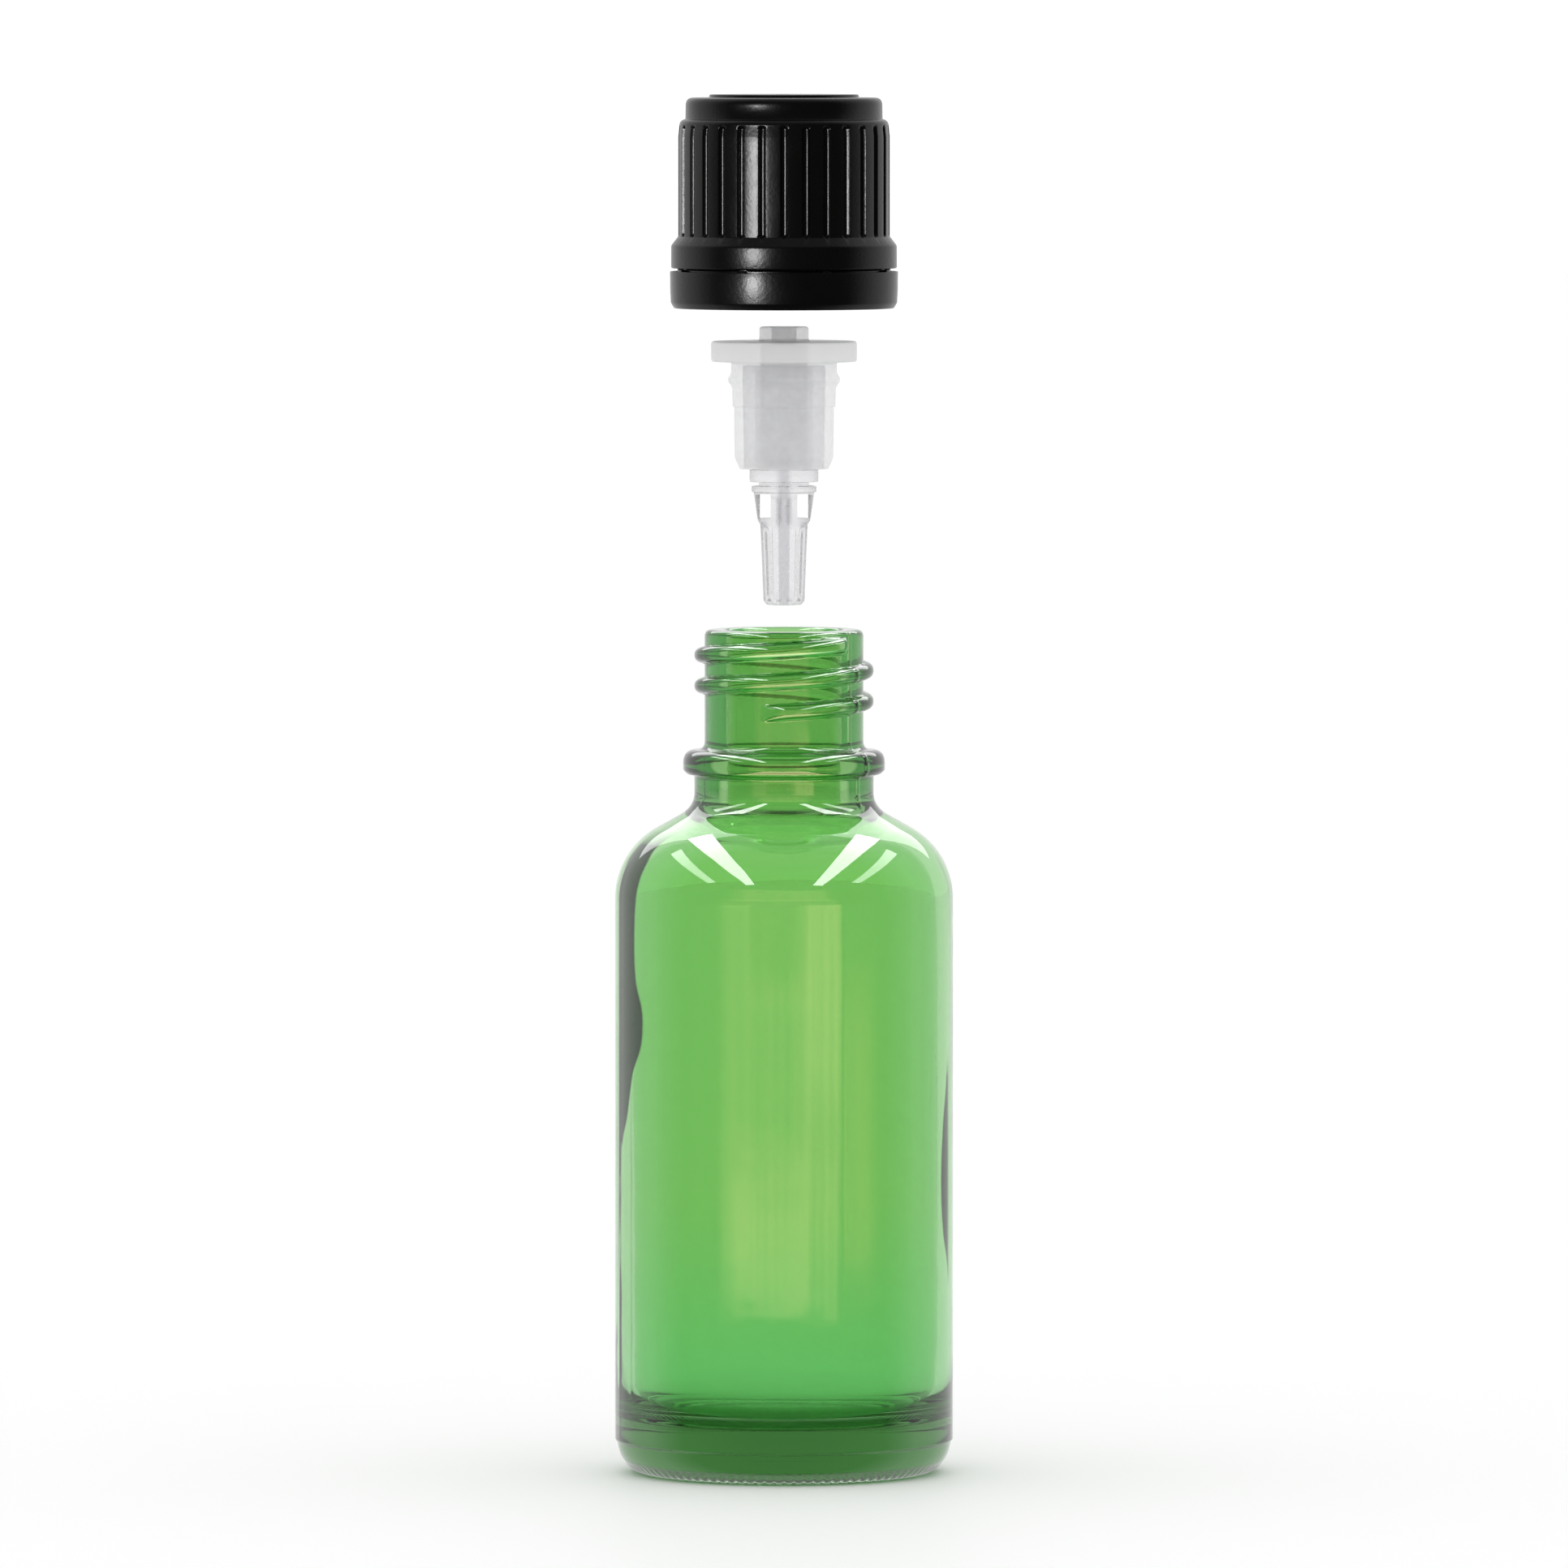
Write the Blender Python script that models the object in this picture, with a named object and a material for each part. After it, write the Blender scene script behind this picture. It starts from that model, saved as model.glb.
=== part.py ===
"""Glass dropper bottle for oil, with its drip insert and its screw cap set out above it.

Five pieces share the Z axis. The glass bottle stands on the table at Z = 0. The milky plug, with
the clear drip tube hanging from it, is lifted out of the neck, and the ribbed cap with its tamper
ring is lifted clear of the plug. Every profile below is written for the closed bottle, and each
piece is then raised by its own lift. Lengths are millimetres here and metres in the model.
"""

import math

import bmesh
import bpy

MM = 0.001

# Lifts that take the closed bottle apart.
THREAD_PITCH = 3.0
CAP_TURNS = 7
CLOSURE_LIFT = THREAD_PITCH * CAP_TURNS
INSERT_LIFT = 26.0

# Bottle: body, shoulder and base.
BODY_R = 16.5
WALL = 1.8
HEEL_R = 16.3
BEARING_OUT_R = 14.4
BEARING_IN_R = 12.4
PUSH_UP = 1.3
SEAM_Z = 2.8
FLOOR_Z = 5.0
SHOULDER_Z = 56.0
SHOULDER_ARC_R = 8.0
SHOULDER_END_DEG = 61.0

# Bottle: neck finish.
NECK_BASE_R = 8.75
NECK_R = 7.75
BEAD_R = 9.85
BEAD_UNDER_Z = 68.1
BEAD_TOP_Z = 70.6
NECK_FOOT = 0.85
BORE_R = 5.55
THROAT_ROUND = 1.0
FILLET = 1.4
LIP_Z = 82.3
LIP_ROUND = 0.7

# Screw thread. The glass one starts high at the front right and runs down clockwise.
NECK_CREST_R = 8.7
NECK_THREAD_WIDTH = 1.6
NECK_THREAD_DEG = (-826.0, -38.0)
THREAD_REF_DEG = -180.0
THREAD_REF_Z = 79.8
CAP_CREST_R = 8.05
CAP_THREAD_WIDTH = 1.2
CAP_THREAD_DEG = (-760.0, -100.0)
THREAD_FADE_DEG = 30.0
THREAD_SINK = 0.3

# Plug.
SEAT_GAP = 0.1
FLANGE_Z = LIP_Z + SEAT_GAP
FLANGE_R = 7.1
FLANGE_HEIGHT = 2.0
SPOUT_R = 2.4
SPOUT_HEIGHT = 1.4
SPOUT_BORE_R = 1.2
PLUG_LENGTH = 10.45
PLUG_TOP_R = 5.15
PLUG_BOTTOM_R = 4.8
PLUG_BEAD_R = 5.45
PLUG_BEAD_Z = FLANGE_Z - 1.75
SLEEVE_R = 2.8
STEM_BORE_R = 2.3
STEM_BORE_TOP_Z = FLANGE_Z + FLANGE_HEIGHT - 0.4
SKIRT_INNER_R = 4.05

# Drip tube.
STEM_R = 2.25
STEM_TOP_Z = STEM_BORE_TOP_Z - SEAT_GAP
CHANNEL_R = 0.5
COLLAR_R = 3.35
COLLAR_TOP_Z = FLANGE_Z - PLUG_LENGTH - 0.05
COLLAR_HEIGHT = 1.2
NOTCH_HEIGHT = 0.4
LOWER_COLLAR_HEIGHT = 0.6
LOWER_COLLAR_R = 3.15
WINDOW_TOP_R = 2.95
WINDOW_BOTTOM_R = 2.55
WINDOW_HEIGHT = 2.8
WINDOW_TOP_Z = COLLAR_TOP_Z - COLLAR_HEIGHT - NOTCH_HEIGHT - LOWER_COLLAR_HEIGHT
WINDOW_BOTTOM_Z = WINDOW_TOP_Z - WINDOW_HEIGHT
WINDOW_SPAN = (1.25, 2.2)
RIBBED_TOP_R = 2.3
TIP_R = 2.0
RIBBED_LENGTH = 8.2
RIB_DEPTH = 0.12
TIP_Z = WINDOW_BOTTOM_Z - RIBBED_LENGTH

# Cap and tamper ring.
RING_BOTTOM_Z = 66.6
RING_HEIGHT = 3.6
RING_R = 11.1
RING_BORE_R = 10.15
CATCH_R = 9.3
CATCH_Z = 67.4
LIP_WIDTH = 0.25
LIP_HEIGHT = 0.22
BRIDGE_COUNT = 8
BRIDGE_HEIGHT = 0.2
CAP_GAP = 0.3
CAP_BOTTOM_Z = RING_BOTTOM_Z + RING_HEIGHT + CAP_GAP
BAND_R = 11.0
SKIRT_R = 10.3
GROOVE_DEPTH = 0.4
GROOVE_COUNT = 30
FIRST_GROOVE_DEG = 6.0
SKIRT_BOTTOM_Z = 73.6
SKIRT_TOP_Z = 84.8
TOP_COLLAR_R = 9.6
CAP_TOP_Z = 87.1
DISC_R = 7.3
DISC_HEIGHT = 0.3
CAP_BORE_R = 8.95
ROOF_Z = 85.95
SEAL_R = 3.8
SEAL_HEIGHT = 1.4
PIN_R = 0.9
PIN_LENGTH = 0.9

BOTTLE_SEGMENTS = 48
CAP_SEGMENTS = 3 * GROOVE_COUNT
RING_SEGMENTS = 48
TUBE_SEGMENTS = 24
THREAD_STEP_DEG = 10.0


def clear_scene():
    for obj in list(bpy.data.objects):
        bpy.data.objects.remove(obj, do_unlink=True)


def material(name, color, roughness, alpha=1.0, transmission=0.0):
    made = bpy.data.materials.new(name)
    made.use_nodes = True
    shader = made.node_tree.nodes["Principled BSDF"]
    shader.inputs["Base Color"].default_value = (*color, 1.0)
    shader.inputs["Roughness"].default_value = roughness
    shader.inputs["Metallic"].default_value = 0.0
    shader.inputs["Alpha"].default_value = alpha
    shader.inputs["Transmission Weight"].default_value = transmission
    return made


def curve(start, corner, end, steps):
    """A rounded corner: points of the quadratic curve from start to end that leans on corner."""
    points = []
    for i in range(steps + 1):
        t = i / steps
        points.append(
            tuple(
                (1 - t) ** 2 * a + 2 * t * (1 - t) * b + t**2 * c
                for a, b, c in zip(start, corner, end)
            )
        )
    return points


def arc(center, radius, start_deg, end_deg, steps):
    """Points (r, z) of a circular stretch of a profile."""
    points = []
    for i in range(steps + 1):
        angle = math.radians(start_deg + (end_deg - start_deg) * i / steps)
        points.append((center[0] + radius * math.cos(angle), center[1] + radius * math.sin(angle)))
    return points


def plain(radius, height, step):
    """The radius of a turned piece at one of its steps round the axis."""
    return radius


def new_object(name, mesh_data, look):
    mesh = bpy.data.meshes.new(name)
    bmesh.ops.recalc_face_normals(mesh_data, faces=mesh_data.faces)
    mesh_data.to_mesh(mesh)
    mesh_data.free()
    mesh.materials.append(look)
    mesh.shade_smooth()
    mesh.set_sharp_from_angle(angle=math.radians(35))
    obj = bpy.data.objects.new(name, mesh)
    bpy.context.collection.objects.link(obj)
    return obj


def lathe(name, profile, segments, look, shape=plain, first_deg=0.0):
    """Turn a profile of (r, z) points round the Z axis. Points at r = 0 become single poles, and
    a profile with no pole is closed into a ring. shape(r, z, step) may vary the radius, and
    first_deg is the angle of step 0."""
    made = bmesh.new()
    loops = []
    for radius, height in profile:
        if radius == 0:
            loops.append([made.verts.new((0.0, 0.0, height * MM))])
            continue
        loop = []
        for step in range(segments):
            angle = math.radians(first_deg) + 2 * math.pi * step / segments
            r = shape(radius, height, step) * MM
            loop.append(made.verts.new((r * math.cos(angle), r * math.sin(angle), height * MM)))
        loops.append(loop)
    pairs = list(zip(loops, loops[1:]))
    if len(loops[0]) > 1:
        pairs.append((loops[-1], loops[0]))
    for low, high in pairs:
        for step in range(segments):
            following = (step + 1) % segments
            corners = [low[step % len(low)], low[following % len(low)]]
            corners += [high[following % len(high)], high[step % len(high)]]
            made.faces.new(dict.fromkeys(corners))
    return new_object(name, made, look)


def thread(name, root_r, crest_r, width, span_deg, drop, look):
    """A helical ridge from root_r to crest_r, sunk a little into its wall and fading out at both
    ends. It follows the glass thread's helix, lowered by drop."""
    outward = 1 if crest_r > root_r else -1
    first, last = span_deg
    steps = round((last - first) / THREAD_STEP_DEG)
    made = bmesh.new()
    sections = []
    for i in range(steps + 1):
        degrees = first + (last - first) * i / steps
        height = THREAD_REF_Z + THREAD_PITCH * (degrees - THREAD_REF_DEG) / 360 - drop
        to_end = min(degrees - first, last - degrees)
        rise = math.sin(math.pi / 2 * min(1.0, to_end / THREAD_FADE_DEG))
        foot = root_r - outward * THREAD_SINK
        crest = root_r + (crest_r - root_r) * rise - outward * THREAD_SINK * (1 - rise) / 2
        angle = math.radians(degrees)
        outline = ((foot, width / 2), (crest, width / 4), (crest, -width / 4), (foot, -width / 2))
        section = []
        for r, offset in outline:
            x, y = r * math.cos(angle), r * math.sin(angle)
            section.append(made.verts.new((x * MM, y * MM, (height + offset) * MM)))
        sections.append(section)
    for one, other in zip(sections, sections[1:]):
        for k in range(4):
            j = (k + 1) % 4
            made.faces.new((one[k], one[j], other[j], other[k]))
    made.faces.new(sections[0])
    made.faces.new(sections[-1])
    return new_object(name, made, look)


def block(name, low, high, look):
    """A box between two corners, in millimetres."""
    made = bmesh.new()
    bmesh.ops.create_cube(made, size=1.0)
    for vert in made.verts:
        vert.co = [(a + b) / 2 * MM + c * (b - a) * MM for a, b, c in zip(low, high, vert.co)]
    return new_object(name, made, look)


def combine(obj, tool, operation):
    """Join a tool to an object, or cut it out, with a Boolean that stays on the object."""
    tool.hide_render = True
    tool.display_type = "WIRE"
    tool.parent = obj
    modifier = obj.modifiers.new(tool.name, "BOOLEAN")
    modifier.operation = operation
    modifier.solver = "EXACT"
    modifier.object = tool


def cone_point(radius, arc_end):
    """The point of the shoulder's straight cone at a radius, from the end of the arc below it."""
    rise = (arc_end[0] - radius) / math.tan(math.radians(SHOULDER_END_DEG))
    return (radius, arc_end[1] + rise)


def bottle_outside():
    base = curve((0, PUSH_UP), (8.0, PUSH_UP), (BEARING_IN_R, 0), 4)
    heel = curve((BEARING_OUT_R, 0), (15.9, 0.6), (HEEL_R, SEAM_Z), 4)
    body = [(BODY_R + 0.1, SEAM_Z + 0.4), (BODY_R + 0.1, SEAM_Z + 1.4), (BODY_R - 0.05, 7.0)]
    shoulder_center = (BODY_R - SHOULDER_ARC_R, SHOULDER_Z)
    shoulder = arc(shoulder_center, SHOULDER_ARC_R, 0, SHOULDER_END_DEG, 6)
    corner = cone_point(NECK_BASE_R, shoulder[-1])
    cone_end = cone_point(NECK_BASE_R + FILLET, shoulder[-1])
    fillet = curve(cone_end, corner, (NECK_BASE_R, corner[1] + FILLET), 3)
    bead = [(NECK_BASE_R, BEAD_UNDER_Z), (BEAD_R - 0.35, BEAD_UNDER_Z + 0.1)]
    bead += [(BEAD_R, BEAD_UNDER_Z + 0.55)]
    bead += curve((BEAD_R, BEAD_TOP_Z - 1.3), (BEAD_R, BEAD_TOP_Z - 0.1), (BEAD_R - 1.15, BEAD_TOP_Z), 4)
    bead += curve((NECK_R + 0.75, BEAD_TOP_Z), (NECK_R, BEAD_TOP_Z), (NECK_R, BEAD_TOP_Z + NECK_FOOT), 3)
    lip = curve((NECK_R, LIP_Z - LIP_ROUND), (NECK_R, LIP_Z), (NECK_R - LIP_ROUND, LIP_Z), 3)
    return base + heel + body + shoulder + fillet + bead + lip


def bottle_inside():
    inner_r = BODY_R - WALL
    mouth = [(BORE_R + 0.4, LIP_Z), (BORE_R, LIP_Z - 0.4)]
    shoulder_center = (BODY_R - SHOULDER_ARC_R, SHOULDER_Z)
    shoulder = arc(shoulder_center, SHOULDER_ARC_R - WALL, SHOULDER_END_DEG, 0, 5)
    corner = cone_point(BORE_R, shoulder[0])
    cone_end = cone_point(BORE_R + THROAT_ROUND, shoulder[0])
    throat = curve((BORE_R, corner[1] + THROAT_ROUND), corner, cone_end, 4)
    floor = curve((inner_r, FLOOR_Z + 4.0), (inner_r, FLOOR_Z), (inner_r - 4.2, FLOOR_Z), 4)
    return mouth + throat + shoulder + floor + [(0, FLOOR_Z + 0.2)]


def make_bottle(look):
    bottle = lathe("bottle_glass", bottle_outside() + bottle_inside(), BOTTLE_SEGMENTS, look)
    ridge = thread(
        "neck_thread", NECK_R, NECK_CREST_R, NECK_THREAD_WIDTH, NECK_THREAD_DEG, 0.0, look
    )
    combine(bottle, ridge, "UNION")
    return bottle


def make_plug(look):
    bottom = FLANGE_Z - PLUG_LENGTH
    top = FLANGE_Z + FLANGE_HEIGHT
    spout_top = top + SPOUT_HEIGHT
    roof = FLANGE_Z - 0.4
    low, high = PLUG_BEAD_Z - 0.6, PLUG_BEAD_Z + 0.6
    profile = [(PLUG_BOTTOM_R - 0.5, bottom), (PLUG_BOTTOM_R, bottom + 1.1)]
    profile += curve((PLUG_TOP_R - 0.1, low), (PLUG_BEAD_R + 0.3, PLUG_BEAD_Z), (PLUG_TOP_R, high), 4)
    profile += [(PLUG_TOP_R, FLANGE_Z), (FLANGE_R - 0.3, FLANGE_Z), (FLANGE_R, FLANGE_Z + 0.3)]
    profile += [(FLANGE_R, top - 0.4), (FLANGE_R - 0.4, top), (SPOUT_R, top)]
    profile += [(SPOUT_R, spout_top - 0.3), (SPOUT_R - 0.3, spout_top), (SPOUT_BORE_R, spout_top)]
    profile += [(SPOUT_BORE_R, STEM_BORE_TOP_Z), (STEM_BORE_R, STEM_BORE_TOP_Z)]
    profile += [(STEM_BORE_R, bottom + 0.1), (SLEEVE_R, bottom + 0.1), (SLEEVE_R, roof)]
    profile += [(SKIRT_INNER_R, roof), (SKIRT_INNER_R - 0.15, bottom)]
    return lathe("dropper_plug", profile, BOTTLE_SEGMENTS, look)


def tube_ribs(radius, height, step):
    """Shallow vertical ribs on the tube below its windows."""
    ribbed = height < WINDOW_BOTTOM_Z and radius > CHANNEL_R
    return radius - RIB_DEPTH if ribbed and step % 2 else radius


def make_tube(look):
    notch_top = COLLAR_TOP_Z - COLLAR_HEIGHT
    notch_bottom = notch_top - NOTCH_HEIGHT
    notch_r = STEM_R + 0.2
    profile = [(CHANNEL_R, TIP_Z), (TIP_R - 0.3, TIP_Z), (TIP_R, TIP_Z + 0.4)]
    profile += [(RIBBED_TOP_R, WINDOW_BOTTOM_Z - 0.4), (WINDOW_BOTTOM_R, WINDOW_BOTTOM_Z)]
    profile += [(WINDOW_TOP_R, WINDOW_TOP_Z), (LOWER_COLLAR_R, WINDOW_TOP_Z)]
    profile += [(LOWER_COLLAR_R, notch_bottom), (notch_r, notch_bottom), (notch_r, notch_top)]
    profile += [(COLLAR_R, notch_top), (COLLAR_R, COLLAR_TOP_Z), (STEM_R, COLLAR_TOP_Z)]
    profile += [(STEM_R, STEM_TOP_Z), (CHANNEL_R, STEM_TOP_Z)]
    tube = lathe("drip_tube", profile, TUBE_SEGMENTS, look, tube_ribs)
    low, high = WINDOW_BOTTOM_Z + 0.2, WINDOW_TOP_Z - 0.2
    for side, name in ((-1, "window_left"), (1, "window_right")):
        near, far = sorted(side * edge for edge in WINDOW_SPAN)
        cutter = block(name, (near, -COLLAR_R, low), (far, COLLAR_R, high), look)
        combine(tube, cutter, "DIFFERENCE")
    return tube


def make_ring(look):
    top = RING_BOTTOM_Z + RING_HEIGHT
    profile = [(RING_R - 0.4, RING_BOTTOM_Z), (RING_R, RING_BOTTOM_Z + 0.5), (RING_R, top)]
    profile += [(RING_BORE_R + LIP_WIDTH, top), (RING_BORE_R + LIP_WIDTH, top + LIP_HEIGHT)]
    profile += [(RING_BORE_R, top + LIP_HEIGHT), (RING_BORE_R, CATCH_Z + 0.9)]
    profile += [(CATCH_R, CATCH_Z + 0.3)]
    profile += [(CATCH_R, CATCH_Z), (RING_BORE_R - 0.3, RING_BOTTOM_Z)]
    ring = lathe("tamper_ring", profile, RING_SEGMENTS, look)
    middle_r = (RING_R + RING_BORE_R) / 2
    for number in range(BRIDGE_COUNT):
        name = f"bridge_{number}"
        low = (middle_r - 0.3, -0.35, top - 0.3)
        high = (middle_r + 0.3, 0.35, top + BRIDGE_HEIGHT)
        bridge = block(name, low, high, look)
        bridge.rotation_euler.z = 2 * math.pi * (number + 0.5) / BRIDGE_COUNT
        combine(ring, bridge, "UNION")
    return ring


def cap_grooves(radius, height, step):
    """Every third step of the skirt's outside lies at the bottom of a narrow groove."""
    on_skirt = radius == SKIRT_R and SKIRT_BOTTOM_Z < height < SKIRT_TOP_Z
    return radius - GROOVE_DEPTH if on_skirt and step % 3 == 0 else radius


def cap_inside():
    """From the pin over the spout, across the seal rib, and down the threaded wall."""
    rib_z = ROOF_Z - SEAL_HEIGHT
    return [
        (0, ROOF_Z - PIN_LENGTH),
        (PIN_R, ROOF_Z - PIN_LENGTH),
        (PIN_R, ROOF_Z),
        (SEAL_R - 0.4, ROOF_Z),
        (SEAL_R - 0.3, rib_z),
        (SEAL_R + 0.3, rib_z),
        (SEAL_R + 0.4, ROOF_Z),
        (CAP_BORE_R - 0.6, ROOF_Z),
        (CAP_BORE_R, ROOF_Z - 0.9),
        (CAP_BORE_R, CAP_BOTTOM_Z + 2.1),
        (RING_BORE_R, CAP_BOTTOM_Z + 0.8),
        (RING_BORE_R, CAP_BOTTOM_Z),
    ]


def cap_outside():
    """From the foot of the smooth band, up the ribbed skirt, and over the collar to the disc."""
    foot = [(BAND_R, CAP_BOTTOM_Z), (BAND_R, SKIRT_BOTTOM_Z - 0.9)]
    skirt = [(SKIRT_R, SKIRT_BOTTOM_Z), (SKIRT_R, SKIRT_BOTTOM_Z + 0.1)]
    skirt += [(SKIRT_R, SKIRT_TOP_Z - 0.4), (SKIRT_R, SKIRT_TOP_Z)]
    shoulder = (TOP_COLLAR_R, CAP_TOP_Z)
    collar = [(TOP_COLLAR_R, SKIRT_TOP_Z + 0.1)]
    collar += curve((TOP_COLLAR_R, CAP_TOP_Z - 0.8), shoulder, (TOP_COLLAR_R - 0.8, CAP_TOP_Z), 3)
    disc_top = CAP_TOP_Z + DISC_HEIGHT
    return foot + skirt + collar + [(DISC_R, CAP_TOP_Z), (DISC_R - 0.1, disc_top), (0, disc_top)]


def make_cap(look):
    profile = cap_inside() + cap_outside()
    cap = lathe("cap_shell", profile, CAP_SEGMENTS, look, cap_grooves, FIRST_GROOVE_DEG)
    half_way = THREAD_PITCH / 2
    ridge = thread(
        "cap_thread", CAP_BORE_R, CAP_CREST_R, CAP_THREAD_WIDTH, CAP_THREAD_DEG, half_way, look
    )
    combine(cap, ridge, "UNION")
    return cap


def lift(name, pieces, height):
    """Raise pieces on an empty that stands on the common axis."""
    axis = bpy.data.objects.new(name, None)
    axis.location.z = height * MM
    bpy.context.collection.objects.link(axis)
    for piece in pieces:
        piece.parent = axis
    return axis


def main():
    clear_scene()
    green = material("green_glass", (0.16, 0.52, 0.14), 0.03, alpha=0.5, transmission=0.9)
    milky = material("milky_plastic", (0.86, 0.87, 0.87), 0.45, alpha=0.9)
    clear = material("clear_plastic", (0.9, 0.9, 0.92), 0.25, alpha=0.6)
    black = material("black_plastic", (0.012, 0.012, 0.012), 0.38)
    make_bottle(green)
    insert_axis = lift("insert_axis", [make_plug(milky), make_tube(clear)], INSERT_LIFT)
    closure_axis = lift("closure_axis", [make_ring(black), make_cap(black)], CLOSURE_LIFT)
    closure_axis.parent = insert_axis


main()
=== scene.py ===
import math

import bpy
import numpy as np
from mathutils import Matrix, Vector


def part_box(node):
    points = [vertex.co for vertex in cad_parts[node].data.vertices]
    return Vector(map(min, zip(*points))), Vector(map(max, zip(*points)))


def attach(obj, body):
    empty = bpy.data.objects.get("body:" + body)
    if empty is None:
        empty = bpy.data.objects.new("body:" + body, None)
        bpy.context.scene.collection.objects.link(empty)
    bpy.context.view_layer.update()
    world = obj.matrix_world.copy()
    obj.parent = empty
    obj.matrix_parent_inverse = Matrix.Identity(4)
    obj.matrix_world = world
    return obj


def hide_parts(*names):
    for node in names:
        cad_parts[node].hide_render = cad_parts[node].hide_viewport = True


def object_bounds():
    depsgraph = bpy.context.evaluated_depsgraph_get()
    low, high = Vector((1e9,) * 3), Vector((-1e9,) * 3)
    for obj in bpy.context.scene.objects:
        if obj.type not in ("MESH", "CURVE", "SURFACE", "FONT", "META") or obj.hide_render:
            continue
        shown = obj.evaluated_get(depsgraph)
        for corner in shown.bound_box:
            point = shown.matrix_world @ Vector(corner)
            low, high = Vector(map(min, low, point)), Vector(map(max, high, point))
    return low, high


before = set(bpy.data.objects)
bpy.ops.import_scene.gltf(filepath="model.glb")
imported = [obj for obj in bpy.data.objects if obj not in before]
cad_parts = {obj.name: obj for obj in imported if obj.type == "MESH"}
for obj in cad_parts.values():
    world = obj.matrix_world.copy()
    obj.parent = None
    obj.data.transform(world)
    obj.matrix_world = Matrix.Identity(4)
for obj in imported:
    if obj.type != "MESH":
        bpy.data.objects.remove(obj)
cad_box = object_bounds()

# Shapes are in millimetres, with their heights on the closed bottle, and each piece is raised by
# the lift that its CAD node shows. Looks, lights and camera are in metres. Angles of shapes run
# anticlockwise from +X, seen from above.
MM = 0.001
BOTTLE_SEGMENTS = 288
CAP_SEGMENTS = 480
RING_SEGMENTS = 360
PLUG_SEGMENTS = 128
TUBE_SEGMENTS = 144

# Bottle
BODY_R = 16.5
WALL = 1.8
INNER_R = BODY_R - WALL
HEEL_R = 16.3
HEEL_CORNER = (15.9, 0.6)
BEARING_IN_R = 12.4
BEARING_OUT_R = 14.4
PUSH_UP = 1.3
PUSH_UP_R = 8.0
BASE_JOINT_Z = 2.8
FLOOR_Z = 5.0
FLOOR_ROUND_R = 4.2
FLOOR_ROUND_Z = 4.0
SHOULDER_Z = 56.0
SHOULDER_ARC_R = 8.0
SHOULDER_END_DEG = 61.0
NECK_BASE_R = 8.75
NECK_R = 7.75
BEAD_R = 9.85
BEAD_UNDER_Z = 68.1
BEAD_TOP_Z = 70.6
NECK_FOOT = 0.85
BORE_R = 5.55
THROAT_ROUND = 1.0
FILLET = 1.4
LIP_Z = 82.3
LIP_ROUND = 0.7
MOUTH_ROUND = 0.5

# Fine relief of the bottle
KNURLS = 96
KNURL_DEPTH = 0.24
BODY_SEAM_DEG = 14.0
BODY_SEAM_HEIGHT = 0.035
BODY_SEAM_WIDTH = 0.35
NECK_SEAM_DEG = -35.0
NECK_SEAM_HEIGHT = 0.09
NECK_SEAM_WIDTH = 0.2

# Threads: the neck's passes THREAD_Z at THREAD_DEG, and a span is in degrees along the helix
PITCH = 3.0
THREAD_DEG = -180.0
THREAD_Z = 79.8
NECK_THREAD = dict(height=1.0, half_width=0.82, span=(-826.0, -38.0), drop=0.0)
CAP_THREAD = dict(height=0.9, half_width=0.7, span=(-760.0, -100.0), drop=PITCH / 2)
LOWER_FADE_DEG = 24.0
UPPER_FADE_DEG = 9.0

# Plug and drip tube
FLANGE_Z = LIP_Z + 0.1
FLANGE_R = 7.1
FLANGE_TOP = FLANGE_Z + 2.0
SPOUT_R = 2.4
SPOUT_TOP = FLANGE_TOP + 1.4
SPOUT_BORE_R = 1.2
SPOUT_FLOOR = FLANGE_TOP - 0.4
PLUG_ROOF = FLANGE_Z - 0.4
PLUG_BOTTOM = FLANGE_Z - 10.45
PLUG_STEP_Z = 78.0
PLUG_FOOT_R = 4.3
PLUG_R = 4.8
PLUG_TOP_R = 5.15
PLUG_BEAD_R = 5.45
PLUG_BEAD_Z = FLANGE_Z - 1.75
PLUG_INNER_R = 3.9
SLEEVE_IN_R = 2.3
SLEEVE_OUT_R = 2.8
TUBE_COLLAR_TOP = PLUG_BOTTOM - 0.05
TUBE_COLLAR_R = 3.35
LOWER_COLLAR_R = 3.15
TUBE_NECK_R = 2.45
STEM_R = 2.25
STEM_TOP = FLANGE_TOP - 0.5
DRIP_CHANNEL_R = 0.5
WINDOW_TOP = TUBE_COLLAR_TOP - 2.2
WINDOW_BOTTOM = WINDOW_TOP - 2.8
WINDOW_SPAN = (1.3, 2.35)
TIP_Z = WINDOW_BOTTOM - 8.2
TIP_R = 2.0
RIBS = 12
RIB_DEPTH = 0.2

# Closure
RING_BOTTOM = 66.6
RING_TOP = 70.2
RING_R = 11.1
RING_BORE_R = 10.15
RING_LIP = 0.22
RING_MIDDLE_Z = 68.4
RING_FOOT_IN_R = 9.85
RING_FOOT_OUT_R = 10.7
CATCH_R = 9.3
CATCH_TOP = 68.3
CATCH_Z = 67.7
BRIDGES = 8
BRIDGE_HEIGHT = 0.2
CAP_BOTTOM = 70.5
CAP_MOUTH_Z = 71.3
BAND_R = 11.0
SKIRT_R = 10.3
SKIRT_BOTTOM = 73.6
SKIRT_TOP = 84.9
GROOVES = 30
FIRST_GROOVE_DEG = 6.0
GROOVE_HALF = 0.42
GROOVE_DEPTH = 0.38
TOP_COLLAR_R = 9.6
CAP_TOP = 87.1
DISC_R = 7.3
DISC_TOP = 87.4
DIMPLE_DEPTH = 0.18
CAP_BORE_R = 8.95
THREADED_BOTTOM = 72.6
THREADED_TOP = 79.9
ROOF_Z = 85.95
SEAL_R = 3.8
PIN_R = 0.9
PIN_LENGTH = 0.9

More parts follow.
